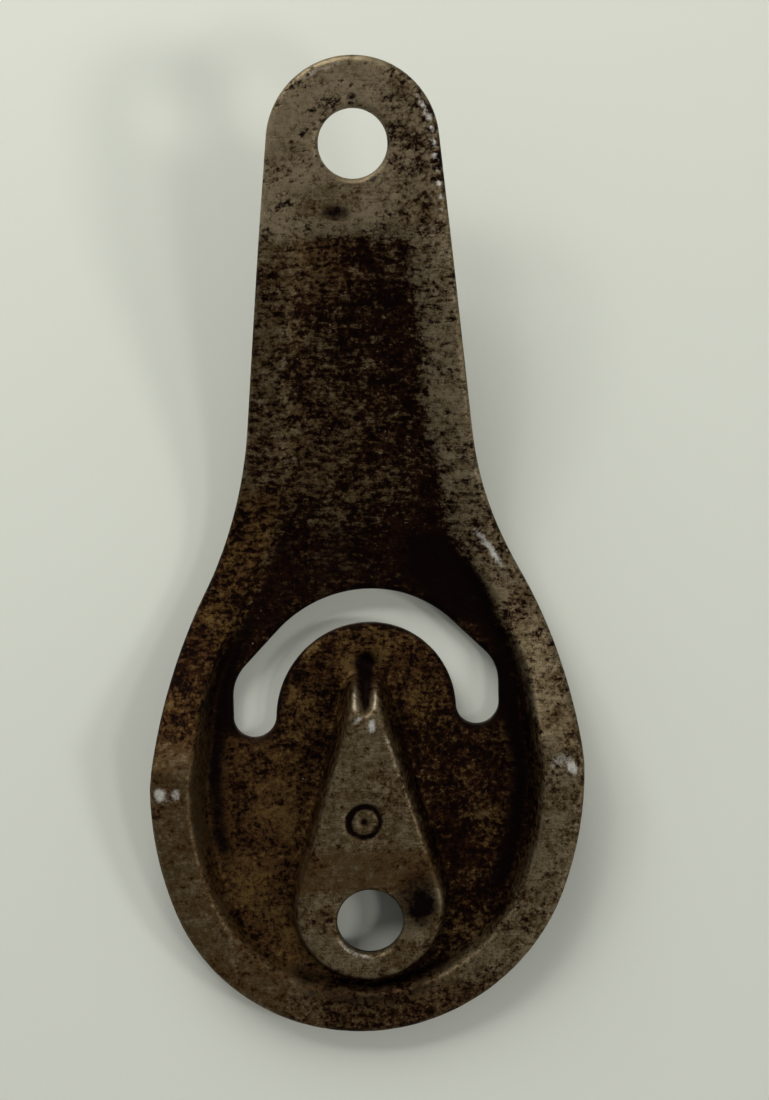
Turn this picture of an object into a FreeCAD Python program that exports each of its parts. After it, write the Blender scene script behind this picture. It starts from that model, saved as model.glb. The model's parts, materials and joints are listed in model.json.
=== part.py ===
"""A pressed steel wall or ceiling plate: a flat tab, a channelled neck, a dished bowl with a flat rim,
a crescent slot round a tongue, and a teardrop boss raised to the level of the rim.

It is one piece of sheet.  The plate hangs below its mounting plane: +Z points into the surface that it
is screwed to, +Y runs towards the tab, and the origin is midway between the two screw holes.
Sizes are in millimetres and degrees.
"""
import FreeCAD, Part
import math
import os

import Sketcher
from FreeCAD import Vector

SIZES = [
    ("sheet", 2.0, "thickness of the sheet"),
    ("hole_span", 93.0, "from one screw hole to the other"),
    ("hole_r", 4.0, "radius of both screw holes"),
    ("tab_r", 10.0, "radius of the tab's round end"),
    ("neck_flare", 5.7, "angle that each flank of the neck opens at"),
    ("waist_down", 33.5, "from the tab's hole to the straight flank's end"),
    ("waist_r", 51.0, "hollow radius of the flank below the neck"),
    ("flank_r", 60.0, "full radius of the bowl's upper flank"),
    ("corner_up", 18.3, "from the boss's hole to the height of the bowl's two corners"),
    ("side_r", 43.0, "radius of the bowl's side below a corner"),
    ("side_turn", 20.0, "angle at which the side meets the bottom arc"),
    ("bowl_r", 25.0, "radius of the bowl's bottom arc"),
    ("bowl_up", 11.2, "from the boss's hole to the centre of the bowl's bottom arc"),
    ("border", 4.8, "width of the flat border round the dish"),
    ("wall_draft", 6.0, "draft of the dish wall"),
    ("dish_r", 0.8, "inner radius between the dish's wall and its floor"),
    ("ramp_down", 12.7, "from the tab's hole to where the border leaves the mounting plane"),
    ("ramp_r", 40.0, "bending radius there"),
    ("shoulder_up", 41.5, "from the boss's hole to where the border's two slopes meet"),
    ("shoulder_drop", 9.6, "depth of that meeting point, before it is rounded"),
    ("shoulder_r", 26.0, "radius that rounds it"),
    ("heel_up", 21.0, "from the boss's hole to where the border is back at the mounting plane"),
    ("heel_r", 3.0, "bending radius there"),
    ("panel_down", 9.9, "from the tab's hole to the upper end of the sunk panel in the neck"),
    ("panel_drop", 0.9, "depth of the panel below the border"),
    ("step_r", 1.5, "bending radii of the panel's upper step"),
    ("foot_drop", 2.3, "depth of the dish at the lowest point of the bowl"),
    ("dish_slope", 7.9, "slope of the dish's floor"),
    ("boss_r", 8.9, "radius of the boss round its screw hole"),
    ("boss_up", 1.7, "from that hole to the centre of the boss's round end"),
    ("nose_r", 1.5, "radius of the boss's nose"),
    ("nose_up", 26.9, "from the boss's hole to the centre of the nose"),
    ("boss_draft", 14.0, "draft of the boss wall"),
    ("boss_edge_r", 0.8, "radius round the boss's flat top"),
    ("ridge_up", 27.1, "from the boss's hole to where the nose starts to slope down"),
    ("ridge_slope", 50.0, "slope of the nose"),
    ("dimple_r", 1.5, "radius of the dimple in the nose's slope"),
    ("dimple_up", 30.7, "from the boss's hole to the dimple"),
    ("dimple_depth", 0.9, "depth of the dimple below the slope"),
    ("tongue_r", 11.0, "radius of the tongue"),
    ("tongue_up", 24.25, "from the boss's hole to the centre of the tongue's and the slot's arcs"),
    ("slot_gap", 4.1, "width of the slot over the tongue"),
    ("arm_lift", 2.0, "angle of each slot end above the tongue's centre"),
    ("arm_r", 2.6, "radius of each slot end"),
    ("corner_r", 5.2, "radius at the slot's outer corners"),
]
SIZE = {name: value for name, value, meaning in SIZES}
DEEP = 40.0     # reach of the cutting tools past the plate on every side
TINY = 1e-6     # two places closer than this are the same place

doc = FreeCAD.newDocument("pressed_plate")
table = doc.addObject("Spreadsheet::Sheet", "Sizes")
for row, (name, value, meaning) in enumerate(SIZES, start=1):
    table.set(f"A{row}", meaning)
    table.set(f"B{row}", str(value))
    table.setAlias(f"B{row}", name)
doc.recompute()


def below_tab_hole(size):
    return SIZE["hole_span"] / 2 - SIZE[size]


def above_boss_hole(size):
    return SIZE[size] - SIZE["hole_span"] / 2


def polar(centre, radius, angle):
    return centre + Vector(math.cos(angle), math.sin(angle), 0) * radius


def heading(start, end):
    return math.atan2(end.y - start.y, end.x - start.x)


def mirrored(point):
    return Vector(-point.x, point.y, 0)


def arc(centre, start, end):
    """The arc that turns anticlockwise from start to end."""
    first = heading(centre, start)
    last = heading(centre, end)
    if last <= first:
        last += 2 * math.pi
    circle = Part.Circle(centre, Vector(0, 0, 1), centre.distanceToPoint(start))
    return Part.ArcOfCircle(circle, first, last)


def rounded(corners, radii):
    """Lines through the corners, with a tangent arc at each corner that has a radius."""
    pieces = []
    start = corners[0]
    for before, corner, after, radius in zip(corners, corners[1:], corners[2:], radii):
        back = (before - corner).normalize()
        ahead = (after - corner).normalize()
        half = back.getAngle(ahead) / 2
        reach = radius / math.tan(half)
        first = corner + back * reach
        last = corner + ahead * reach
        centre = corner + (back + ahead).normalize() * (radius / math.sin(half))
        pieces.append(Part.LineSegment(start, first))
        left_turn = (corner - before).cross(after - corner).z > 0
        pieces.append(arc(centre, first, last) if left_turn else arc(centre, last, first))
        start = last
    pieces.append(Part.LineSegment(start, corners[-1]))
    return pieces


def new_sketch(name, role):
    """A body of its own for a solid, and an empty sketch on one of that body's origin planes."""
    body = doc.addObject("PartDesign::Body", name)
    sketch = body.newObject("Sketcher::SketchObject", name + "_sketch")
    plane = next(face for face in body.Origin.OriginFeatures if face.Role == role)
    sketch.AttachmentSupport = [(plane, "")]
    sketch.MapMode = "FlatFace"
    return sketch


def pad(sketch, length, draft=None):
    """The body of a sketch, padded to both sides of it, or with a draft to the side below it."""
    body = sketch.getParentGeoFeatureGroup()
    feature = body.newObject("PartDesign::Pad", body.Name + "_pad")
    feature.Profile = sketch
    feature.Length = length
    if draft:
        feature.Reversed = True
        feature.setExpression("TaperAngle", draft)
    else:
        feature.SideType = "Symmetric"
    sketch.Visibility = False
    doc.recompute()
    return body


def draw(sketch, pieces, sizes=()):
    """Put the pieces into the sketch, join their ends, and bind the sizes that are driven by the table.

    A size is (kind, piece numbers and point numbers..., expression).
    """
    index = [sketch.addGeometry(piece, False) for piece in pieces]
    ends = [(piece.StartPoint, piece.EndPoint) for piece in pieces]
    for one in index:
        for other in index[one + 1:]:
            for first, point in enumerate(ends[one], start=1):
                for second, match in enumerate(ends[other], start=1):
                    if point.distanceToPoint(match) < TINY:
                        sketch.addConstraint(Sketcher.Constraint("Coincident", one, first, other, second))
    for kind, *where, expression in sizes:
        value = sketch.evalExpression(expression)
        number = sketch.addConstraint(Sketcher.Constraint(kind, *where, value))
        sketch.setExpression(f"Constraints[{number}]", expression)
    doc.recompute()


def outline_pieces():
    """The plate's outline: seven arcs and two straight flanks."""
    flare = math.radians(SIZE["neck_flare"])
    turn = math.radians(SIZE["side_turn"])
    tab = Vector(0, SIZE["hole_span"] / 2, 0)
    bowl = Vector(0, above_boss_hole("bowl_up"), 0)
    outward = Vector(math.cos(flare), math.sin(flare), 0)
    flank_top = tab + outward * SIZE["tab_r"]
    run = (flank_top.y - below_tab_hole("waist_down")) / math.cos(flare)
    waist = flank_top + Vector(math.sin(flare), -math.cos(flare), 0) * run
    waist_centre = waist + outward * SIZE["waist_r"]

    side_foot = polar(bowl, SIZE["bowl_r"], -turn)
    side_centre = polar(side_foot, -SIZE["side_r"], -turn)
    corner_y = above_boss_hole("corner_up")
    half_width = side_centre.x + math.sqrt(SIZE["side_r"] ** 2 - (corner_y - side_centre.y) ** 2)
    corner = Vector(half_width, corner_y, 0)

    # the flank's arc ends at the corner and is tangent to the waist's arc
    span = waist_centre - corner
    reach = SIZE["flank_r"] + SIZE["waist_r"]
    along = (SIZE["flank_r"] ** 2 - reach ** 2 + span.Length ** 2) / (2 * span.Length)
    across = math.sqrt(SIZE["flank_r"] ** 2 - along ** 2)
    unit = Vector(span).normalize()
    flank_centre = corner + unit * along + Vector(-unit.y, unit.x, 0) * across
    shoulder = polar(waist_centre, SIZE["waist_r"], heading(waist_centre, flank_centre))

    return [
        arc(tab, flank_top, mirrored(flank_top)),
        Part.LineSegment(flank_top, waist),
        arc(waist_centre, waist, shoulder),
        arc(flank_centre, corner, shoulder),
        arc(side_centre, side_foot, corner),
        arc(bowl, mirrored(side_foot), side_foot),
        arc(mirrored(side_centre), mirrored(corner), mirrored(side_foot)),
        arc(mirrored(flank_centre), mirrored(shoulder), mirrored(corner)),
        arc(mirrored(waist_centre), mirrored(shoulder), mirrored(waist)),
        Part.LineSegment(mirrored(flank_top), mirrored(waist)),
    ]


def closed_below(top):
    """The side view under a line: the line's own pieces, closed far below."""
    right = Vector(top[0].StartPoint.x, -2 * DEEP, 0)
    left = Vector(top[-1].EndPoint.x, -2 * DEEP, 0)
    return top + [
        Part.LineSegment(top[-1].EndPoint, left),
        Part.LineSegment(left, right),
        Part.LineSegment(right, top[0].StartPoint),
    ]


def border_pieces():
    """Side view of everything under the border: tab, ramp, shoulder, heel and rim."""
    level = [
        Vector(2 * DEEP, 0, 0),
        Vector(below_tab_hole("ramp_down"), 0, 0),
        Vector(above_boss_hole("shoulder_up"), -SIZE["shoulder_drop"], 0),
        Vector(above_boss_hole("heel_up"), 0, 0),
        Vector(-2 * DEEP, 0, 0),
    ]
    return closed_below(rounded(level, [SIZE["ramp_r"], SIZE["shoulder_r"], SIZE["heel_r"]]))


def floor_pieces():
    """Side view of everything under the floor of the panel and the dish."""
    ramp_y = below_tab_hole("ramp_down")
    panel_y = below_tab_hole("panel_down")
    fall = SIZE["shoulder_drop"] / (ramp_y - above_boss_hole("shoulder_up"))
    rise = math.tan(math.radians(SIZE["dish_slope"]))
    foot_y = above_boss_hole("bowl_up") - SIZE["bowl_r"] + SIZE["border"]
    meet_y = (SIZE["panel_drop"] - SIZE["foot_drop"] + fall * ramp_y + rise * foot_y) / (fall + rise)
    meet_z = -SIZE["foot_drop"] - rise * (meet_y - foot_y)
    end_y = -2 * DEEP
    level = [
        Vector(2 * DEEP, SIZE["sheet"], 0),
        Vector(panel_y + SIZE["sheet"], SIZE["sheet"], 0),
        Vector(panel_y - SIZE["panel_drop"], -SIZE["panel_drop"], 0),
        Vector(meet_y, meet_z, 0),
        Vector(end_y, rise * (foot_y - end_y) - SIZE["foot_drop"], 0),
    ]
    return closed_below(rounded(level, [SIZE["step_r"], SIZE["step_r"], SIZE["shoulder_r"]]))


def nose_pieces():
    """Side view of what is cut away in front of the boss's sloping nose."""
    slope = math.radians(SIZE["ridge_slope"])
    ridge = Vector(above_boss_hole("ridge_up"), 0, 0)
    foot = polar(ridge, DEEP, -slope)
    lift = polar(ridge, DEEP, math.pi - slope)
    over = Vector(foot.x, lift.y, 0)
    return [Part.LineSegment(lift, foot), Part.LineSegment(foot, over), Part.LineSegment(over, lift)]


def boss_pieces():
    """The boss from above: two arcs and their common tangents."""
    boss = Vector(0, above_boss_hole("boss_up"), 0)
    nose = Vector(0, above_boss_hole("nose_up"), 0)
    lean = math.asin((SIZE["boss_r"] - SIZE["nose_r"]) / (nose.y - boss.y))
    wide = polar(boss, SIZE["boss_r"], lean)
    narrow = polar(nose, SIZE["nose_r"], lean)
    return [
        arc(boss, mirrored(wide), wide),
        Part.LineSegment(wide, narrow),
        arc(nose, narrow, mirrored(narrow)),
        Part.LineSegment(mirrored(narrow), mirrored(wide)),
    ]


def slot_pieces():
    """The crescent slot: an arc over the tongue, a wider one outside it, and a round end on each arm."""
    centre = Vector(0, above_boss_hole("tongue_up"), 0)
    lean = math.radians(SIZE["arm_lift"])
    root = polar(centre, SIZE["tongue_r"], lean)
    end = polar(root, SIZE["arm_r"], lean)
    side = end + Vector(SIZE["arm_r"], 0, 0)

    # past 45 degrees the outer arc runs on straight, to a corner arc that is tangent to the arm's side
    turn = math.radians(45)
    leave = polar(centre, SIZE["tongue_r"] + SIZE["slot_gap"], turn)
    inward = polar(Vector(), SIZE["corner_r"], turn)
    run = (side.x - SIZE["corner_r"] + inward.x - leave.x) / math.sin(turn)
    bend = polar(leave, run, -turn)
    corner = bend - inward
    foot = corner + Vector(SIZE["corner_r"], 0, 0)
    return [
        arc(centre, leave, mirrored(leave)),
        Part.LineSegment(leave, bend),
        arc(corner, foot, bend),
        Part.LineSegment(foot, side),
        arc(end, root, side),
        arc(centre, root, mirrored(root)),
        arc(mirrored(end), mirrored(side), mirrored(root)),
        Part.LineSegment(mirrored(side), mirrored(foot)),
        arc(mirrored(corner), mirrored(bend), mirrored(foot)),
        Part.LineSegment(mirrored(bend), mirrored(leave)),
    ]


def offset(name, sketch, value):
    """The sketch's outline moved inwards or outwards, and so always parallel to it."""
    line = doc.addObject("Part::Offset2D", name)
    line.Source = sketch
    line.Fill = False
    line.setExpression("Value", value)
    return line


def prism(name, sketch, above, below, draft=None):
    """A solid that reaches above and below its outline's plane, with a draft on the lower part."""
    solid = doc.addObject("Part::Extrusion", name)
    solid.Base = sketch
    solid.DirMode = "Normal"
    solid.Solid = True
    solid.LengthFwd = above
    solid.LengthRev = below
    if draft:
        solid.setExpression("TaperAngleRev", draft)
    return solid


def cut(name, base, *tools):
    """The base less every tool, one Part::Cut after another."""
    for number, tool in enumerate(tools, start=1):
        result = doc.addObject("Part::Cut", f"{name}_{number}")
        result.Base = base
        result.Tool = tool
        base = result
    doc.recompute()
    return base


def joined(kind, name, *pieces):
    result = doc.addObject(kind, name)
    result.Shapes = list(pieces)
    doc.recompute()
    return result


def floor_edges(solid):
    """Edges along which the floor of a hollow or bulge meets its wall.

    The others lie in the mounting plane, run square across the floor, or climb the wall.
    """
    found = []
    for number, edge in enumerate(solid.Shape.Edges, start=1):
        start, end = (vertex.Point for vertex in edge.Vertexes)
        run = math.hypot(start.x - end.x, start.y - end.y)
        climb = abs(start.z - end.z)
        straight = edge.Curve.TypeId == "Part::GeomLine"
        across = straight and abs(start.y - end.y) < TINY and climb < TINY
        on_floor = min(start.z, end.z) < -TINY
        if on_floor and not across and climb < 5 * run:
            found.append(number)
    return found


def top_edges(solid):
    """Edges of the face that lies in the mounting plane."""
    boxes = [edge.BoundBox for edge in solid.Shape.Edges]
    return [number for number, box in enumerate(boxes, start=1) if max(abs(box.ZMin), abs(box.ZMax)) < TINY]


def softened(name, solid, choose, *radii):
    """The solid with the chosen edges rounded; the radius is the sum of the named sizes."""
    doc.recompute()
    radius = sum(SIZE[size] for size in radii)
    result = doc.addObject("Part::Fillet", name)
    result.Base = solid
    result.Edges = [(number, radius, radius) for number in choose(solid)]
    doc.recompute()
    return result


outline = new_sketch("blank", "XY_Plane")
draw(outline, outline_pieces(), [
    ("Radius", 0, "Sizes.tab_r"),
    ("Radius", 2, "Sizes.waist_r"),
    ("Radius", 3, "Sizes.flank_r"),
    ("Radius", 4, "Sizes.side_r"),
    ("Radius", 5, "Sizes.bowl_r"),
])
border_view = new_sketch("under_border", "YZ_Plane")
draw(border_view, border_pieces(), [
    ("Radius", 1, "Sizes.ramp_r"),
    ("Radius", 3, "Sizes.shoulder_r"),
    ("Radius", 5, "Sizes.heel_r"),
])
floor_view = new_sketch("under_floor", "YZ_Plane")
draw(floor_view, floor_pieces(), [
    ("Radius", 1, "Sizes.step_r"),
    ("Radius", 3, "Sizes.step_r"),
    ("Radius", 5, "Sizes.shoulder_r"),
])
boss_line = new_sketch("boss", "XY_Plane")
draw(boss_line, boss_pieces(), [
    ("Radius", 0, "Sizes.boss_r"),
    ("Radius", 2, "Sizes.nose_r"),
])
slot_line = new_sketch("slot", "XY_Plane")
draw(slot_line, slot_pieces(), [
    ("Radius", 2, "Sizes.corner_r"),
    ("Radius", 4, "Sizes.arm_r"),
    ("Radius", 5, "Sizes.tongue_r"),
])
nose_view = new_sketch("before_nose", "YZ_Plane")
draw(nose_view, nose_pieces())

# the sheet: what lies under the border, less what lies behind it, less the hollow of panel and dish
blank = pad(outline, 2 * DEEP)
under_border = pad(border_view, 2 * DEEP)
under_floor = pad(floor_view, 2 * DEEP)
below_border = prism("below_border", offset("border_back", border_view, "-Sizes.sheet"), DEEP, DEEP)
below_floor = prism("below_floor", offset("floor_back", floor_view, "-Sizes.sheet"), DEEP, DEEP)
dish = prism("dish", offset("dish_line", outline, "-Sizes.border"), DEEP, DEEP, "-Sizes.wall_draft")
hull = prism("hull", offset("hull_line", outline, "Sizes.sheet - Sizes.border"), DEEP, DEEP,
             "-Sizes.wall_draft")
strip = joined("Part::MultiCommon", "strip", blank, under_border)
hollow = softened("soft_hollow", cut("hollow", dish, under_floor), floor_edges, "dish_r")
bulge = softened("soft_bulge", cut("bulge", hull, below_floor), floor_edges, "dish_r", "sheet")
shell = cut("shell", strip, cut("back", below_border, bulge), hollow)

# the boss, hollow beneath, with a dimple in its sloping nose
boss = softened("soft_boss", pad(boss_line, DEEP, "Sizes.boss_draft"), top_edges, "boss_edge_r")
core = prism("core", offset("core_line", boss_line, "-Sizes.sheet"), 0, DEEP, "Sizes.boss_draft")
core.setExpression("Placement.Base.z", "-Sizes.sheet")
before_nose = pad(nose_view, 2 * DEEP)
before_core = prism("before_core", offset("nose_back", nose_view, "Sizes.sheet"), DEEP, DEEP)
pressed = joined("Part::MultiFuse", "pressed", shell, cut("raised", boss, below_floor, before_nose))
under_boss = cut("under_boss", core, before_core)

dimple = doc.addObject("Part::Sphere", "dimple")
dimple.setExpression("Radius", "Sizes.dimple_r")
dimple.setExpression("Placement.Base.y", "Sizes.dimple_up - Sizes.hole_span / 2")
dimple.setExpression("Placement.Base.z", "Sizes.dimple_r - Sizes.dimple_depth"
                     " - (Sizes.dimple_up - Sizes.ridge_up) * tan(Sizes.ridge_slope * 1 deg)")

holes = []
for name, place in (("tab_hole", "Sizes.hole_span / 2"), ("boss_hole", "-Sizes.hole_span / 2")):
    hole = doc.addObject("Part::Cylinder", name)
    hole.Height = 2 * DEEP
    hole.Placement.Base.z = -DEEP
    hole.setExpression("Radius", "Sizes.hole_r")
    hole.setExpression("Placement.Base.y", place)
    holes.append(hole)

plate = cut("plate", pressed, under_boss, pad(slot_line, 2 * DEEP), dimple, *holes)
plate.Label = "pressed_plate"

for item in doc.Objects:
    if "Invalid" in item.State or "Error" in item.State:
        raise RuntimeError(f"{item.Name} failed: {item.State}")
if plate.Shape.isNull() or not plate.Shape.isValid() or len(plate.Shape.Solids) != 1:
    raise RuntimeError("the plate is not one valid solid")
os.makedirs("parts", exist_ok=True)
plate.Shape.exportStep("parts/pressed_plate.step")
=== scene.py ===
"""A worn pressed-steel lifter plate, lying convex side down on a pale studio floor.

The plate is one sheet of steel.  Its two faces are heights over one grid, its cut edge is a rounded
profile carried round every boundary, and its finish is worn steel under brown and black rust, with
glints and some shade painted into its colour.
"""
import json
import math

import bpy
import numpy as np
from mathutils import Matrix, Vector


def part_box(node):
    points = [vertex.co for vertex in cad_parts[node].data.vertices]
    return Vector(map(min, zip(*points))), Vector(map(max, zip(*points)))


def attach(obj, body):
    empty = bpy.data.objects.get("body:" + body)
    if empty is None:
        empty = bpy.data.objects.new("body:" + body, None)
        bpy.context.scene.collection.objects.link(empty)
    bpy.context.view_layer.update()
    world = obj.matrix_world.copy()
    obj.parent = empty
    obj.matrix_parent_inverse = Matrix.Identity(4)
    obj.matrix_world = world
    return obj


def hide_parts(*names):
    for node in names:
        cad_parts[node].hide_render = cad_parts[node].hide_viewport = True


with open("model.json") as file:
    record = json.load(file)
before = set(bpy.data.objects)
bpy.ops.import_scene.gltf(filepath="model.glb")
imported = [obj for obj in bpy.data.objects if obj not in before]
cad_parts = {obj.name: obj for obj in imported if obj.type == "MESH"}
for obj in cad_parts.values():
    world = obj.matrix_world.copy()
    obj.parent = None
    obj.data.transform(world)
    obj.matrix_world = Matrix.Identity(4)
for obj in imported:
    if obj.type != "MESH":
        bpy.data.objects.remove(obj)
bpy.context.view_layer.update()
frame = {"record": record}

MM = 0.001

# ---------------------------------------------------------------- sizes, in millimetres and degrees

record = frame["record"]
screws = next(mount for mount in record["mounts"] if mount["name"] == "screw_holes")
HOLE_SPAN = screws["dims"]["spacing_y_mm"]
HOLE_R = screws["dims"]["hole_r_mm"]
low, high = (np.array(corner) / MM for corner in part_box("pressed_plate"))

SHEET = 2.0                            # thickness of the steel
TAB_R = high[1] - HOLE_SPAN / 2        # the tab's round end is centred on its hole
NECK_FLARE = math.radians(5.7)
WAIST_Y, WAIST_R = 13.0, 51.0
FLANK_R = 60.0
CORNER_Y = -28.2
SIDE_R, SIDE_TURN = 43.0, math.radians(20.0)
BOWL_R = 25.0
BOWL_Y = low[1] + BOWL_R

BORDER = 4.8                           # flat border round the dish and the panel
RAMP = (33.8, 40.0)                    # place and bending radius of each bend of the border
SHOULDER = (-5.0, 26.0)
HEEL = (-25.5, 3.0)
SHOULDER_DROP = 9.6
PANEL_Y, PANEL_DROP = 36.6, 0.9
DISH_RISE = math.tan(math.radians(7.9))
FOOT_DROP = 2.3

BOSS_R, BOSS_Y = 8.9, -44.8
NOSE_R, NOSE_Y = 1.5, -19.6
TONGUE_R, TONGUE_Y = 11.0, -22.25
SLOT_GAP = 4.1
ARM_R, ARM_LIFT = 2.6, math.radians(2.0)
SLOT_CORNER_R = 5.2

GRID = 0.31                            # spacing of the surface's grid
TOP_ROUND = 0.7                        # rounding of the cut edge on the wall side
BACK_ROUND = 0.5                       # and on the other
SKEW = 0.043                           # the bowl was pressed slightly askew


# ---------------------------------------------------------------- outlines as signed distances

class Outline:
    """A closed outline, mirrored about the long axis, as arcs and straight runs on its right half.

    The distance of a point is that to the nearest piece, negative on the inside.
    """

    def __init__(self):
        self.pieces = []

    def arc(self, centre, radius, first, last, full=True):
        """An arc from angle first to last; full means that the inside holds its centre."""
        self.pieces.append(("arc", np.array(centre), radius, first, last, 1.0 if full else -1.0))

    def run(self, start, end):
        """A straight run with the inside on its left."""
        self.pieces.append(("run", np.array(start), np.array(end)))

    def distance(self, x, y):
        side = np.abs(x)
        best = np.full(np.shape(x), np.inf)
        signed = np.zeros(np.shape(x))
        for kind, *piece in self.pieces:
            measure = self.from_arc if kind == "arc" else self.from_run
            far, value = measure(side, y, *piece)
            closer = far < best
            best = np.where(closer, far, best)
            signed = np.where(closer, value, signed)
        return np.sign(signed) * best

    @staticmethod
    def from_arc(x, y, centre, radius, first, last, sign):
        dx, dy = x - centre[0], y - centre[1]
        middle = (first + last) / 2
        turned = (np.arctan2(dy, dx) - middle + math.pi) % (2 * math.pi) - math.pi
        held = np.clip(turned, -(last - first) / 2, (last - first) / 2) + middle
        far = np.hypot(dx - radius * np.cos(held), dy - radius * np.sin(held))
        return far, sign * (np.hypot(dx, dy) - radius)

    @staticmethod
    def from_run(x, y, start, end):
        along = end - start
        length = np.hypot(*along)
        along = along / length
        dx, dy = x - start[0], y - start[1]
        held = np.clip(dx * along[0] + dy * along[1], 0, length)
        far = np.hypot(dx - held * along[0], dy - held * along[1])
        return far, dx * along[1] - dy * along[0]


def polar(centre, radius, angle):
    return np.array(centre) + radius * np.array([math.cos(angle), math.sin(angle)])


def heading(start, end):
    return math.atan2(end[1] - start[1], end[0] - start[0])


def plate_outline():
    """Tab, straight flank, hollow waist, full flank, side and bottom arc, each tangent to the next
    except at the bowl's corner."""
    tab = np.array([0.0, HOLE_SPAN / 2])
    bowl = np.array([0.0, BOWL_Y])
    flank_top = polar(tab, TAB_R, NECK_FLARE)
    run = (flank_top[1] - WAIST_Y) / math.cos(NECK_FLARE)
    waist = polar(flank_top, run, NECK_FLARE - math.pi / 2)
    waist_centre = polar(waist, WAIST_R, NECK_FLARE)
    side_foot = polar(bowl, BOWL_R, -SIDE_TURN)
    side_centre = polar(side_foot, -SIDE_R, -SIDE_TURN)
    rise = CORNER_Y - side_centre[1]
    corner = np.array([side_centre[0] + math.sqrt(SIDE_R ** 2 - rise ** 2), CORNER_Y])
    span = math.dist(waist_centre, corner)
    reach = FLANK_R + WAIST_R
    along = (FLANK_R ** 2 - reach ** 2 + span ** 2) / (2 * span)
    across = math.sqrt(FLANK_R ** 2 - along ** 2)
    aim = heading(corner, waist_centre)
    flank_centre = polar(polar(corner, along, aim), across, aim + math.pi / 2)
    meet = heading(flank_centre, waist_centre)

    line = Outline()
    line.arc(tab, TAB_R, NECK_FLARE, math.pi / 2)
    line.run(waist, flank_top)
    line.arc(waist_centre, WAIST_R, math.pi + NECK_FLARE, math.pi + meet, full=False)
    line.arc(flank_centre, FLANK_R, heading(flank_centre, corner), meet)
    line.arc(side_centre, SIDE_R, -SIDE_TURN, heading(side_centre, corner))
    line.arc(bowl, BOWL_R, -math.pi / 2, -SIDE_TURN)
    return line


def slot_outline():
    """The crescent: an outer arc, a straight run at 45 degrees, a corner arc, the arm's end and the
    tongue."""
    centre = np.array([0.0, TONGUE_Y])
    root = polar(centre, TONGUE_R, ARM_LIFT)
    end = polar(root, ARM_R, ARM_LIFT)
    side = end + [ARM_R, 0]
    turn = math.radians(45)
    leave = polar(centre, TONGUE_R + SLOT_GAP, turn)
    inward = polar([0, 0], SLOT_CORNER_R, turn)
    run = (side[0] - SLOT_CORNER_R + inward[0] - leave[0]) / math.sin(turn)
    bend = polar(leave, run, -turn)
    corner = bend - inward
    foot = corner + [SLOT_CORNER_R, 0]

    line = Outline()
    line.arc(centre, TONGUE_R + SLOT_GAP, turn, math.pi / 2)
    line.run(bend, leave)
    line.arc(corner, SLOT_CORNER_R, 0, turn)
    line.run(side, foot)
    line.arc(end, ARM_R, -math.pi + ARM_LIFT, 0)
    line.arc(centre, TONGUE_R, ARM_LIFT, math.pi / 2, full=False)
    return line


def boss_outline():
    """A teardrop: a wide arc, a narrow one, and their common tangent."""
    lean = math.asin((BOSS_R - NOSE_R) / (NOSE_Y - BOSS_Y))
    line = Outline()
    line.arc((0, BOSS_Y), BOSS_R, -math.pi / 2, lean)
    line.run(polar((0, BOSS_Y), BOSS_R, lean), polar((0, NOSE_Y), NOSE_R, lean))
    line.arc((0, NOSE_Y), NOSE_R, lean, math.pi / 2)
    return line


PLATE = plate_outline()
SLOT = slot_outline()
BOSS = boss_outline()


def cut_distance(x, y):
    """Distance to the nearest cut edge, negative in the metal."""
    tab_hole = HOLE_R - np.hypot(x, y - HOLE_SPAN / 2)
    boss_hole = HOLE_R - np.hypot(x, y + HOLE_SPAN / 2)
    return np.max([PLATE.distance(x, y), -SLOT.distance(x, y), tab_hole, boss_hole], axis=0)


# ---------------------------------------------------------------- heights of the two faces

def bend(t, reach):
    """Zero before a bend, t after it, and a parabola over the bend's own length."""
    return np.where(np.abs(t) < reach, (t + reach) ** 2 / (4 * reach), np.maximum(t, 0))


def step(t):
    """A smooth step from 0 to 1 as t goes from 0 to 1."""
    t = np.clip(t, 0, 1)
    return t * t * t * (t * (6 * t - 15) + 10)


def soft_max(a, b, width):
    """The greater of two heights, with their crease filled over a width."""
    return (a + b + np.sqrt((a - b) ** 2 + width ** 2)) / 2


def soft_min(a, b, width):
    return -soft_max(-a, -b, width)


FALL = SHOULDER_DROP / (RAMP[0] - SHOULDER[0])
CLIMB = SHOULDER_DROP / (SHOULDER[0] - HEEL[0])
FOOT_Y = low[1] + BORDER
MEET_Y = (PANEL_DROP - FOOT_DROP + FALL * RAMP[0] + DISH_RISE * FOOT_Y) / (FALL + DISH_RISE)


def border_height(y):
    """Level tab, ramp down to the shoulder, climb to the heel, level rim: three rounded bends."""
    ramp = -FALL * bend(RAMP[0] - y, RAMP[1] * FALL / 2)
    rise = (FALL + CLIMB) * bend(SHOULDER[0] - y, SHOULDER[1] * (FALL + CLIMB) / 2)
    heel = -CLIMB * bend(HEEL[0] - y, HEEL[1] * CLIMB / 2)
    return ramp + rise + heel


def floor_height(y):
    """Parallel to the ramp as far as the dish, and then rising to the foot of the bowl."""
    ramp = -FALL * bend(RAMP[0] - y, RAMP[1] * FALL / 2)
    turn = FALL + DISH_RISE
    return ramp - PANEL_DROP + turn * bend(MEET_Y - y, SHOULDER[1] * turn / 2)


def band_width(y):
    """Width of the flat border: narrower along the neck than round the bowl."""
    return BORDER - 0.9 + 1.0 * step((-14 - y) / 12)


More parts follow.
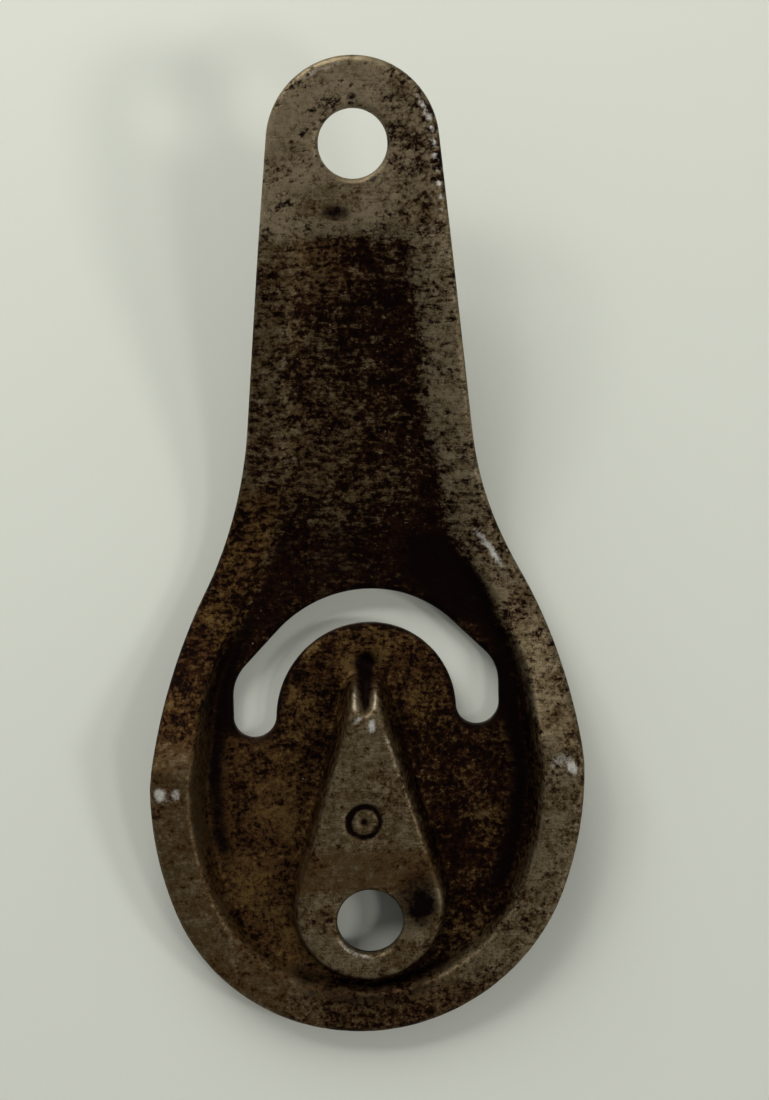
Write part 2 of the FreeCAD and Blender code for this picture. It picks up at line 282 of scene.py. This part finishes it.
def pressed_height(x, y, spread):
    """Height of a face before the sheet's thickness is taken off.

    The dish and the boss are both steps in a distance; spread moves them outwards for the back face.
    The dish's wall is steep round the bowl, and a long soft slope along the shoulders and the neck.
    """
    level = border_height(y)
    depth = (level - floor_height(y)) * step((PANEL_Y + 1.5 + spread - y) / 3.6)
    inside = -PLATE.distance(x, y) - band_width(y) + spread
    wall = 1.5 + 0.14 * depth + 1.7 * step((y + 24) / 16)
    dish = level - depth * step((inside + 0.5) / wall)

    out = BOSS.distance(x, y) + spread
    boss = -5.5 * bend(out, 0.45)
    nose = -1.15 * bend(y + spread * 0.6 + 20.6, 1.3)
    raised = soft_min(boss, nose, 0.45)
    return soft_max(dish, raised, 0.4)


def notch(x, y):
    """A V that points down the boss's nose and opens upwards into a round dimple; 1 at its deepest."""
    half_width = np.clip(0.16 + 0.26 * (y + 20.9), 0.16, 1.05)
    length = step((y + 21.2) / 1.2) * (1 - step((y + 17.4) / 2.6))
    dimple = np.exp(-(x / 1.25) ** 2 - ((y + 16.1) / 1.25) ** 2)
    return np.maximum(length * np.exp(-(x / half_width) ** 2), dimple)


def nose_ridges(x, y):
    """The two small ridges beside the notch."""
    return np.exp(-((np.abs(x) - 1.15 - 0.06 * (y + 20)) / 0.42) ** 2 - ((y + 18.9) / 1.8) ** 2)


MARK_X, MARK_Y, MARK_R = -0.45, -33.9, 1.9


def punch_mark(x, y):
    """A ring and a centre dot struck into the boss, as a fitter's punch leaves; 1 at their deepest."""
    off = np.hypot(x - MARK_X, y - MARK_Y)
    return np.maximum(np.exp(-((off - MARK_R) / 0.42) ** 2), np.exp(-(off / 0.6) ** 2))


def edge_nicks(x, y):
    """Small slanting cuts along the edges, close together on the tab's right edge; 1 at their deepest."""
    inside = -PLATE.distance(x, y)
    cuts = (0.5 + 0.5 * np.sin(3.3 * y - 2.1 * x + 2.2 * np.sin(0.83 * y + 0.4))) ** 5
    amount = 0.25 + 0.75 * step((x - 4) / 3) * step((y - 22) / 8)
    return cuts * amount * np.exp(-(inside / 1.1) ** 2)


def corner_ridges(x, y):
    """The crease that folded up where the border meets the level rim, at each of the bowl's corners."""
    inside = -PLATE.distance(x, y)
    across = y + 27.0 - 0.25 * (np.abs(x) - 22)
    return np.exp(-(across / 0.7) ** 2) * step((5.5 - inside) / 2.5) * step((np.abs(x) - 15) / 4)


def unevenness(x, y):
    """Slow waves of a few hundredths, as sheet metal keeps after pressing."""
    return 0.035 * np.sin(0.31 * x + 0.17 * y + 1.0) * np.sin(0.23 * y - 0.19 * x) \
        + 0.018 * np.sin(0.9 * x - 0.5 * y) * np.sin(0.7 * y + 0.4 * x + 2.0)


def wall_side(x, y):
    struck = 0.28 * punch_mark(x, y) + 0.32 * edge_nicks(x, y) + 1.3 * notch(x, y)
    raised = 0.35 * nose_ridges(x, y) + 0.30 * corner_ridges(x, y)
    return pressed_height(x, y, 0.0) + unevenness(x, y) + raised - struck


def room_side(x, y):
    return pressed_height(x, y, SHEET * 0.9) - SHEET + unevenness(x, y)


# ---------------------------------------------------------------- the plate's mesh

def slope_of(field, x, y):
    reach = 0.01
    gx = (field(x + reach, y) - field(x - reach, y)) / (2 * reach)
    gy = (field(x, y + reach) - field(x, y - reach)) / (2 * reach)
    length = np.maximum(np.hypot(gx, gy), 1e-9)
    return gx / length, gy / length


def onto_boundary(x, y, inset):
    """Points moved along the distance's slope until they lie inset from the cut edge."""
    for _ in range(4):
        gx, gy = slope_of(cut_distance, x, y)
        off = cut_distance(x, y) + inset
        x, y = x - off * gx, y - off * gy
    return x, y


def open_edges(cells, index):
    """Grid edges with metal on one side only, each turned so that the metal is on its left."""
    above, below = cells[1:, 1:-1], cells[:-1, 1:-1]
    east, west = cells[1:-1, 1:], cells[1:-1, :-1]
    along_x = np.stack([index[:, :-1], index[:, 1:]], axis=-1)
    along_y = np.stack([index[1:, :], index[:-1, :]], axis=-1)
    return np.concatenate([along_x[above > below], along_x[below > above][:, ::-1],
                           along_y[east > west], along_y[west > east][:, ::-1]])


def edge_rings(x, y, top_z, back_z):
    """Rings of points that carry the rounded cut edge from one face to the other."""
    nx, ny = slope_of(cut_distance, x, y)
    quarter = np.radians([22.5, 45, 67.5, 90])
    turns = len(quarter)
    reaches = np.concatenate([np.sin(quarter), [1.0], np.sin(quarter[::-1])[1:]]) * TOP_ROUND
    fall = TOP_ROUND * (1 - np.cos(quarter))
    rise = BACK_ROUND * (1 - np.cos(quarter[::-1]))
    rings = []
    for number, reach in enumerate(reaches):
        if number < turns:
            z = top_z - fall[number]
        elif number == turns:
            z = (top_z - TOP_ROUND + back_z + BACK_ROUND) / 2
        else:
            z = back_z + rise[number - turns]
        rings.append(np.stack([x + nx * reach, y + ny * reach, z], axis=1))
    return rings


def plate_mesh():
    """Both faces on one grid whose border is moved onto the outlines, and a rounded edge between them."""
    xs = np.arange(low[0] - GRID, high[0] + 2 * GRID, GRID)
    ys = np.arange(low[1] - GRID, high[1] + 2 * GRID, GRID)
    x, y = np.meshgrid(xs, ys)
    held = cut_distance((x[:-1, :-1] + x[1:, 1:]) / 2, (y[:-1, :-1] + y[1:, 1:]) / 2) < -TOP_ROUND

    cells = np.pad(held, 1).astype(int)
    around = cells[:-1, :-1] + cells[:-1, 1:] + cells[1:, :-1] + cells[1:, 1:]
    used = around > 0
    rim = used & (around < 4)
    index = np.full(x.shape, -1)
    index[used] = np.arange(used.sum())
    x[rim], y[rim] = onto_boundary(x[rim], y[rim], TOP_ROUND)

    corners = (index[:-1, :-1], index[:-1, 1:], index[1:, 1:], index[1:, :-1])
    top_faces = np.stack([corner[held] for corner in corners], axis=1)
    px, py = x[used], y[used]
    top_z = wall_side(px, py)
    back_z = room_side(px, py)
    count = len(px)

    edges = open_edges(cells, index)
    ring = np.unique(edges)
    place = np.full(count, -1)
    place[ring] = np.arange(len(ring))
    rings = edge_rings(px[ring], py[ring], top_z[ring], back_z[ring])

    points = np.concatenate([np.stack([px, py, top_z], axis=1), np.stack([px, py, back_z], axis=1), *rings])
    levels = [edges] + [place[edges] + 2 * count + number * len(ring) for number in range(len(rings))]
    levels.append(edges + count)
    side_faces = [np.stack([upper[:, 1], upper[:, 0], lower[:, 0], lower[:, 1]], axis=1)
                  for upper, lower in zip(levels, levels[1:])]
    faces = np.concatenate([top_faces, top_faces[:, ::-1] + count, *side_faces])
    return points, faces


def askew(points):
    """The bowl is sheared a little across the plate, and the tab and the screw holes are not."""
    x, y = points[:, 0], points[:, 1]
    near_hole = np.exp(-((np.hypot(x, y + HOLE_SPAN / 2) / 6.5) ** 4))
    points[:, 1] += SKEW * x * step((12 - y) / 20) * (1 - near_hole)
    return points


def add_mesh(name, points, faces):
    mesh = bpy.data.meshes.new(name)
    mesh.from_pydata((points * MM).tolist(), [], faces.tolist())
    mesh.polygons.foreach_set("use_smooth", np.ones(len(faces), dtype=bool))
    mesh.update()
    piece = bpy.data.objects.new(name, mesh)
    bpy.context.scene.collection.objects.link(piece)
    return piece


# ---------------------------------------------------------------- where the finish is worn, and where glints and shade are painted

def between(value, low_end, high_end, soft):
    """1 from low_end to high_end, with a smooth fall to 0 over a width outside each."""
    return step((value - low_end + soft) / soft) * step((high_end + soft - value) / soft)


def spot(x, y, cx, cy, rx, ry, turn=0.0):
    """A soft round stain, 1 at its middle."""
    turn = math.radians(turn)
    along = (x - cx) * math.cos(turn) + (y - cy) * math.sin(turn)
    across = (y - cy) * math.cos(turn) - (x - cx) * math.sin(turn)
    return np.exp(-((along / rx) ** 2 + (across / ry) ** 2) ** 1.5)


def layered(*layers):
    """Each layer is a value and where it holds, from 0 to 1; later layers cover earlier ones."""
    total = 0.0
    for value, where in layers:
        total = total * (1 - where) + value * where
    return total


class Zones:
    """The plate's parts as soft masks from 0 to 1, and the distances that the wear depends on."""

    def __init__(self, x, y):
        self.x, self.y = x, y
        self.inside = -PLATE.distance(x, y)
        self.off_boss = BOSS.distance(x, y)
        self.band = band_width(y)
        self.on_border = 1 - step((self.inside - self.band + 0.3) / (1.6 + 1.6 * step((y + 24) / 16)))
        self.left, self.right = step((2 - x) / 14), step((x + 2) / 14)
        self.tab = step((y - 34.5) / 3.5)
        self.tab_right = self.tab * step((x - 1) / 6)
        self.neck = between(y, 0, 35, 8)
        self.shoulder = between(y, -20, 2, 6)
        self.valley = between(y, -12, 1, 5)
        self.bowl = step((-20 - y) / 6)
        self.boss = (1 - step((self.off_boss + 0.1) / 0.7)) * (1 - step((y + 20.0) / 2.0))
        self.ridges = nose_ridges(x, y) * (1 - notch(x, y))
        self.tongue = (1 - step((np.hypot(x, y - TONGUE_Y) - 9.5) / 3)) * step((y + 28) / 4)
        self.foot = between(y, -70, -56, 3) * between(x, -8, 12, 6)


def bareness(at):
    """How much of the brown scale is worn off."""
    x, y, left, right, border = at.x, at.y, at.left, at.right, at.on_border
    return layered(
        (0.20, 1.0),                                             # the floor of neck and dish
        (0.42, at.neck * left), (0.10, at.neck * step((x - 1) / 5)),
        (0.40, between(y, 4, 15, 5) * step((8 - x) / 6)),
        (0.55, between(y, 31, 35, 4) * step((3 - x) / 6)),
        (0.02, at.valley * step((x + 6) / 12)), (0.08, at.valley * left),
        (0.44, at.tongue), (0.30, at.tongue * right * step((-17 - y) / 6)),
        (0.58, at.bowl * left * (1 - at.tongue)), (0.23, at.bowl * right),
        (0.60, border * at.neck * left), (0.76, border * at.neck * right),
        (0.42, border * at.shoulder * left), (0.66, border * at.shoulder * right),
        (0.88, border * at.bowl * left), (0.77, border * at.bowl * right), (0.52, border * at.foot),
        (0.90, at.tab), (0.60, at.tab_right), (0.74, at.tab * step((44 - y) / 6)),
        (0.82, at.boss), (1.1, at.ridges))


def greyness(at):
    """From ochre rust at 0 to grey steel at 1."""
    x, y, left, right, border = at.x, at.y, at.left, at.right, at.on_border
    return layered(
        (0.20, 1.0),
        (0.34, at.neck), (0.12, at.bowl * left), (0.10, at.tongue), (0.16, at.bowl * right),
        (0.46, border * at.neck * left), (0.72, border * at.neck * right),
        (0.06, border * at.shoulder * left), (0.62, border * at.shoulder * right),
        (0.44, border * at.bowl * left), (0.62, border * at.bowl * right), (0.34, border * at.foot),
        (0.92, at.tab), (0.62, at.tab_right), (0.40, 0.8 * at.tab * spot(x, y, -2.5, 40.0, 5.0, 2.6, 10)),
        (0.50, 0.7 * at.tab * spot(x, y, -7.5, 45.5, 2.5, 2.5)), (0.56, at.boss), (0.9, at.ridges),
        (0.22, 0.6 * at.boss * between(y, -41.5, -38.5, 2)))


def soil_and_shade_amount(at):
    """Black soiling, and painted shade: both along the foot of the dish's wall, in the deep valley, in the
    nose's notch and beside the boss's right wall; soiling alone at the cut edges and in a few stains.
    """
    x, y = at.x, at.y
    # soiling and painted shade at the foot of the dish's wall
    wall_foot = np.exp(-((at.inside - at.band - 2.5) / 1.5) ** 2)
    wall_foot = wall_foot * (at.left * between(y, -36, -14, 6) + at.right * between(y, -42, -8, 6))
    hole_edge = np.exp(-((np.hypot(x, y - HOLE_SPAN / 2) - HOLE_R - 0.5) / 0.6) ** 2)
    slot_edge = np.exp(-((SLOT.distance(x, y) - 0.3) / 0.55) ** 2)
    grime = 0.80 * wall_foot * (1 - at.tongue) + 0.35 * hole_edge
    # soiling and painted shade in the deep valley below the neck
    grime += 1.0 * spot(x, y, 10.4, -6.0, 6.0, 3.0, -45)
    grime += 0.4 * between(y, -9, -1, 4) * (at.inside > at.band + 2)
    grime += 0.72 * spot(x, y, 5.3, -42.6, 2.9, 4.0, -20) + 0.58 * spot(x, y, 6.9, -45.6, 1.9, 2.1)
    # soiling and painted shade in the nose's notch; soiling in the punch mark
    grime += 1.1 * notch(x, y) + 1.1 * punch_mark(x, y) * (at.off_boss < -1)
    grime += 0.8 * spot(x, y, 0.0, 51.9, 0.7, 0.5) + 0.7 * spot(x, y, -2.4, 38.6, 1.9, 1.1)
    grime += 0.6 * slot_edge * (y < TONGUE_Y + 6)
    # painted shade and soiling beside the boss's right wall; dark stains below the boss
    grime += 0.30 * np.exp(-((at.off_boss - 1.0) / 0.35) ** 2) * at.bowl * step((x + 4) / 6)
    grime += 0.50 * np.exp(-((at.off_boss - 2.4) / 1.6) ** 2) * step((-50 - y) / 3)
    return grime + 0.7 * edge_nicks(x, y) * step((x - 4) / 3)


def painted_glints(at):
    """Painted glints and highlights: a bright colour on stretches of the cut edge, the bowl's corners, the
    nose, the boss's right edge and the boss's hole.
    """
    x, y, inside = at.x, at.y, at.inside
    rim_edge = np.exp(-((inside - 0.9) / 0.28) ** 2)
    gleam = rim_edge * (0.65 * spot(x, y, -4, 55.5, 4.5, 3) + 0.7 * spot(x, y, 8.0, 50.5, 1.0, 2.0, 40)
                        + 0.25 * at.right * step((y + 20) / 20))
    tab_edge = np.exp(-((inside - 0.7) / 0.35) ** 2) * step((x - 6) / 2) * between(y, 40, 49, 3)
    gleam += 0.8 * (1 - edge_nicks(x, y)) * tab_edge * (np.sin(4.1 * y) > 0.2)
    gleam += 0.95 * spot(x, y, 15.9, -3.4, 0.45, 2.4, 28) + 0.70 * spot(x, y, 14.2, -1.2, 0.40, 1.6, 28)
    gleam += 1.3 * spot(x, y, 24.6, -28.7, 0.62, 0.85, 30) + 0.60 * spot(x, y, 23.2, -27.6, 1.7, 0.8, 20)
    gleam += 1.05 * spot(x, y, -24.9, -28.8, 0.55, 0.8) + 0.40 * spot(x, y, -24.0, -29.3, 2.2, 1.3)
    gleam += 0.6 * spot(x, y, -22.9, -29.0, 0.45, 0.7) + 1.3 * spot(x, y, 0.75, -22.2, 0.48, 0.85)
    gleam += 0.8 * spot(x, y, -0.95, -21.3, 0.8, 0.4, 20) + 0.46 * at.ridges
    boss_hole_edge = np.exp(-((np.hypot(x, y + HOLE_SPAN / 2) - HOLE_R - 0.3) / 0.25) ** 2)
    gleam += 0.75 * boss_hole_edge * spot(x, y, -2.0, -HOLE_SPAN / 2 - 4.0, 3.2, 1.6, -25)
    boss_edge = np.exp(-((at.off_boss + 0.35) / 0.28) ** 2)
    return gleam + 0.36 * boss_edge * step(x / 2) * between(y, -31, -24, 3)


def wear_fields(x, y, z, top):
    """What the finish depends on at each point, from 0 to about 1; top is 1 on the wall side.

    The room side is scale all over, rubbed through where it stands proudest.  Strokes run aslant on
    the tab and level elsewhere.
    """
    at = Zones(x, y)
    rubbed = 0.40 + 0.45 * step((-z - 7.5) / 3.5) + 0.25 * at.tab
    dulled = 0.35 + 0.3 * step((-z - 8) / 3)
    slant = step((y - 34) / 8)
    return {"bare": bareness(at) * top + rubbed * (1 - top),
            "grey": greyness(at) * top + dulled * (1 - top),
            "grime": np.clip(soil_and_shade_amount(at) * top, 0, 1),
            "gleam": np.clip(painted_glints(at) * top, 0, 1),
            "slant": slant,
            "level": (1 - slant) * (0.45 + 0.55 * step((y + 22) / 16))}


def carry(piece, fields):
    """Give the mesh one number at each point for every field."""
    for name, values in fields.items():
        layer = piece.data.attributes.new(name, "FLOAT", "POINT")
        layer.data.foreach_set("value", values.astype(np.float32))


points, faces = plate_mesh()
on_wall_side = (points[:, 2] > wall_side(points[:, 0], points[:, 1]) - 1.0).astype(float)
fields = wear_fields(*points.T, on_wall_side)
plate = add_mesh("worn_plate", askew(points), faces)
carry(plate, fields)
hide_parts("pressed_plate")
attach(plate, "root")


# ---------------------------------------------------------------- shader maths

class Value:
    """A shader socket that takes part in Python arithmetic: each operator adds its Math node."""

    def __init__(self, sheet, socket):
        self.sheet = sheet
        self.socket = socket

    def math(self, operation, *others):
        return self.sheet.node("ShaderNodeMath", {"operation": operation}, dict(enumerate((self, *others))))

    def __add__(self, other):
        return self.math("ADD", other)

    def __sub__(self, other):
        return self.math("SUBTRACT", other)

    def __rsub__(self, other):
        return (self * -1.0) + other

    def __mul__(self, other):
        return self.math("MULTIPLY", other)

    __radd__ = __add__
    __rmul__ = __mul__

    def fade(self, start, end):
        """0 at start, 1 at end, smooth between them and held outside them."""
        if start > end:
            return 1.0 - self.fade(end, start)
        return self.sheet.node("ShaderNodeMapRange", {"interpolation_type": "SMOOTHSTEP"},
                               {"Value": self, "From Min": start, "From Max": end})


class Finish:
    """One material, and the only place where its nodes are made."""

    def __init__(self, name):
        self.material = bpy.data.materials.new(name)
        self.material.use_nodes = True
        self.tree = self.material.node_tree
        self.shader = self.tree.nodes["Principled BSDF"]
        self.place = self.node("ShaderNodeTexCoord", out="Object")

    def node(self, kind, settings=None, inputs=None, out=0):
        """A node of a kind, with its settings first and then its sockets' values or links."""
        made = self.tree.nodes.new(kind)
        for name, value in (settings or {}).items():
            setattr(made, name, value)
        for name, value in (inputs or {}).items():
            self.plug(made.inputs[name], value)
        return Value(self, made.outputs[out])

    def plug(self, socket, value):
        if isinstance(value, Value):
            self.tree.links.new(value.socket, socket)
        else:
            socket.default_value = value

    def set(self, **inputs):
        for name, value in inputs.items():
            self.plug(self.shader.inputs[name.replace("_", " ").title().replace("Ior", "IOR")], value)

    def noise(self, size, detail, rough, stretch=(1.0, 1.0, 1.0), turn=0.0, shift=0.0):
        """Noise from about -1 to 1 whose largest features measure size millimetres, drawn out where a
        stretch is under 1, and turned about the plate's normal."""
        turned = self.node("ShaderNodeMapping", {}, {"Vector": self.place, "Rotation": (0.0, 0.0, turn)})
        scale = tuple(part / (size * MM) for part in stretch)
        where = self.node("ShaderNodeMapping", {}, {"Vector": turned, "Scale": scale,
                                                    "Location": (shift, -shift, shift * 0.5)})
        cloud = self.node("ShaderNodeTexNoise", {}, {"Vector": where, "Scale": 1.0, "Detail": detail,
                                                     "Roughness": rough})
        return (cloud - 0.5) * 4.0

    def dots(self, size, shift=0.0):
        """Distance from the nearest of many scattered points, in units of their spacing."""
        scale = 1.0 / (size * MM)
        where = self.node("ShaderNodeMapping", {}, {"Vector": self.place, "Location": (shift, shift, 0.0),
                                                    "Scale": (scale, scale, scale)})
        return self.node("ShaderNodeTexVoronoi", {}, {"Vector": where, "Scale": 1.0})

    def field(self, name):
        """A number that the mesh carries at its points."""
        return self.node("ShaderNodeAttribute", {"attribute_name": name}, out="Fac")

    def blend(self, low_colour, high_colour, factor):
        return self.node("ShaderNodeMix", {"data_type": "RGBA"},
                         {0: factor, 6: colour(low_colour), 7: colour(high_colour)}, out=2)

    def bump(self, height, depth, strength=1.0, under=None):
        """A bump of a height in millimetres."""
        inputs = {"Height": height, "Distance": depth * MM, "Strength": strength}
        if under is not None:
            inputs["Normal"] = under
        return self.node("ShaderNodeBump", {}, inputs)


def colour(value):
    return value if isinstance(value, Value) else (*value, 1.0)


# the first colour is black scale, and also the colour of the painted shade mixed with the soiling
SCALE_AND_SHADE_BLACK = (0.0048, 0.0018, 0.0011)
SCALE_BROWN = (0.021, 0.0070, 0.0026)
RUST = (0.078, 0.038, 0.0110)
YELLOW_RUST = (0.17, 0.098, 0.020)
DULL_STEEL = (0.080, 0.055, 0.0235)
BARE_STEEL = (0.245, 0.192, 0.116)
# the colour of the painted glints and highlights
GLINT_WHITE = (0.72, 0.69, 0.61)
GRIT = (0.34, 0.29, 0.22)


def worn_steel():
    """Brown and black scale, worn through in strokes to rust and then to grey steel, with painted glints
    and painted shade.
    """
    finish = Finish("worn_steel")
    bare, grey, grime, gleam = (finish.field(name) for name in ("bare", "grey", "grime", "gleam"))
    slant, level = finish.field("slant"), finish.field("level")

    blotch = finish.noise(6.0, 4.0, 0.6)
    mottle = finish.noise(1.9, 5.0, 0.65, shift=3.1)
    grain = finish.noise(0.62, 5.0, 0.75, shift=7.7)
    level_strokes = finish.noise(0.85, 4.0, 0.7, stretch=(0.50, 1.4, 1.0), shift=1.3)
    slant_strokes = finish.noise(1.00, 4.0, 0.7, stretch=(0.55, 1.4, 1.0), turn=-0.55, shift=4.9)
    stroke = level_strokes * level + slant_strokes * slant
    fine = finish.noise(0.22, 3.0, 0.6, shift=5.9)
    brushed = finish.noise(0.45, 3.0, 0.6, stretch=(0.16, 2.0, 1.0), shift=2.6)

    worn = bare + blotch * 0.28 + mottle * 0.22 + stroke * 0.58 + grain * 0.66
    exposed = worn.fade(0.20, 0.86)
    clean = (grey + blotch * 0.25 + mottle * 0.22 + grain * 0.34 + stroke * 0.20).fade(0.08, 0.74)
    metal = exposed * clean

    scale = finish.blend(SCALE_AND_SHADE_BLACK, SCALE_BROWN, (mottle + grain + worn * 0.8).fade(-0.5, 0.9))
    yellow = (mottle * 0.8 + grain * 1.0 + blotch * 0.7 - grey * 0.5).fade(0.15, 0.9)
    rust = finish.blend(RUST, YELLOW_RUST, yellow * 0.8)
    shade = grey + fine * 0.22 + grain * 0.34 + mottle * 0.34 + brushed * 0.16
    steel = finish.blend(DULL_STEEL, BARE_STEEL, shade.fade(0.28, 1.14))
    skin = finish.blend(scale, finish.blend(rust, steel, clean), exposed)

    # dark pits in the worn steel, and pale grit in the scale
    pits = finish.dots(1.1).fade(0.34, 0.16) * finish.noise(4.0, 2.0, 0.5, shift=2.2).fade(0.0, 0.7)
    skin = finish.blend(skin, SCALE_BROWN, pits * exposed * 0.8)
    gritty = finish.noise(3.0, 2.0, 0.5, shift=9.2).fade(0.35, 0.8)
    grit = finish.dots(0.9, shift=1.7).fade(0.16, 0.08) * gritty
    skin = finish.blend(skin, GRIT, grit * (1.0 - exposed) * 0.55)
    # black soiling, with painted shade at the dish's wall foot, in the valley, in the notch and beside the
    # boss
    soil_and_shade_mix = (grime + grain * 0.26 + mottle * 0.36 + blotch * 0.26).fade(0.28, 0.88)
    skin = finish.blend(skin, SCALE_AND_SHADE_BLACK, soil_and_shade_mix)
    # painted glints and highlights: a bright colour, with less roughness and less metal where the glint
    # field is high
    painted_glint_mask = (gleam + grain * 0.40 + mottle * 0.15).fade(0.25, 1.30)
    skin = finish.blend(skin, GLINT_WHITE, painted_glint_mask)

    finish.set(base_color=skin,
               metallic=0.86 - exposed * (1.0 - clean) * 0.25 - painted_glint_mask * 0.40,
               roughness=0.60 - metal * 0.12 + grain * 0.08 - painted_glint_mask * 0.24,
               specular_ior_level=0.10)
    coarse = finish.bump(mottle * 0.5 + blotch * 0.3 + exposed * 0.25, 0.06, 0.7)
    pitted = finish.bump(stroke * 0.5 - pits * 1.0, 0.04, 0.8, coarse)
    finish.set(normal=finish.bump(grain * 0.5 + fine * 0.3 + brushed * 0.25, 0.02, 0.8, pitted))
    return finish.material


plate.data.materials.append(worn_steel())

# ---------------------------------------------------------------- camera, floor and lights

TILT = math.radians(9.5)               # between the mounting plane and the floor
LEAN = math.radians(1.2)               # of the plate's long axis, in the view
RANGE = 286.0                          # from the lens to the mounting plane
SENSOR, LENS = 24.0, 53.0182           # the sensor's height and the lens's focal length
OFFSET = np.array([-2.7, 0.7])         # of the view's middle from the plate's origin
FLOOR_SIDE = 3.0                       # in metres, as are the lamps' sizes and distances
PAPER = (0.775, 0.79, 0.685)
SKY = (0.96, 0.98, 1.0)


def from_view(point):
    """A point given across, up and towards the lens, in the plate's own frame."""
    across, up, near = point
    x = across
    y = up * math.cos(TILT) + near * math.sin(TILT)
    z = near * math.cos(TILT) - up * math.sin(TILT)
    return Vector((x * math.cos(LEAN) + y * math.sin(LEAN), y * math.cos(LEAN) - x * math.sin(LEAN), z))


VIEW = Matrix([from_view(axis) for axis in ((1, 0, 0), (0, 1, 0), (0, 0, 1))]).transposed()


def add_camera():
    data = bpy.data.cameras.new("view")
    data.sensor_fit = "VERTICAL"
    data.sensor_height = SENSOR
    data.lens = LENS
    camera = bpy.data.objects.new("view", data)
    shift = from_view((OFFSET[0], OFFSET[1] * math.cos(TILT), OFFSET[1] * math.sin(TILT)))
    place = (from_view((0, 0, RANGE)) - shift) * MM
    camera.matrix_world = Matrix.Translation(place) @ VIEW.to_4x4()
    bpy.context.scene.collection.objects.link(camera)
    bpy.context.scene.camera = camera


def add_floor():
    """A pale plane under the plate's lowest points, square to the line of sight."""
    normal = VIEW.col[2]
    lowest = (points @ np.array(normal)).min() * MM
    half = FLOOR_SIDE / 2
    corners = [VIEW @ Vector((across * half, up * half, 0)) + normal * lowest
               for across, up in ((-1, -1), (1, -1), (1, 1), (-1, 1))]
    mesh = bpy.data.meshes.new("studio_floor")
    mesh.from_pydata([tuple(corner) for corner in corners], [], [(0, 1, 2, 3)])
    floor = bpy.data.objects.new("studio_floor", mesh)
    bpy.context.scene.collection.objects.link(floor)
    paper = bpy.data.materials.new("pale paper")
    paper.use_nodes = True
    shader = paper.node_tree.nodes["Principled BSDF"]
    shader.inputs["Base Color"].default_value = (*PAPER, 1.0)
    shader.inputs["Roughness"].default_value = 0.9
    mesh.materials.append(paper)


def add_light(name, direction, distance, size, power):
    """A square soft light, aimed at the plate from a direction given across, up and towards the lens."""
    data = bpy.data.lights.new(name, "AREA")
    data.size = size
    data.energy = power
    lamp = bpy.data.objects.new(name, data)
    ray = VIEW @ Vector(direction).normalized()
    aim = ray.to_track_quat("Z", "Y").to_matrix().to_4x4()
    lamp.matrix_world = Matrix.Translation(ray * distance) @ aim
    bpy.context.scene.collection.objects.link(lamp)


def add_sky():
    """A soft surround, brighter near the floor than overhead."""
    world = bpy.data.worlds.new("studio")
    world.use_nodes = True
    tree = world.node_tree
    direction = tree.nodes.new("ShaderNodeTexCoord").outputs["Generated"]
    height = tree.nodes.new("ShaderNodeVectorMath")
    height.operation = "DOT_PRODUCT"
    height.inputs[1].default_value = VIEW.col[2]
    tree.links.new(direction, height.inputs[0])
    fall = tree.nodes.new("ShaderNodeMapRange")
    for name, value in (("From Min", 0.2), ("From Max", 1.0), ("To Min", 0.45), ("To Max", 0.11)):
        fall.inputs[name].default_value = value
    tree.links.new(height.outputs["Value"], fall.inputs["Value"])
    background = tree.nodes["Background"]
    tree.links.new(fall.outputs["Result"], background.inputs["Strength"])
    background.inputs["Color"].default_value = (*SKY, 1.0)
    bpy.context.scene.world = world


add_camera()
add_floor()
add_light("right_far", (1.12, -0.22, 1.0), 1.0, 0.15, 1.5)
add_light("right_near", (0.62, -0.32, 1.0), 1.0, 0.15, 1.0)
add_light("left_near", (-0.5, 0.85, 1.0), 1.0, 0.15, 0.6)
add_light("left_far", (-1.0, 0.9, 1.0), 1.0, 0.15, 0.6)
add_light("window", (-0.55, 1.5, 1.0), 0.42, 0.30, 1.1)
add_sky()
bpy.context.scene.view_settings.view_transform = "Standard"
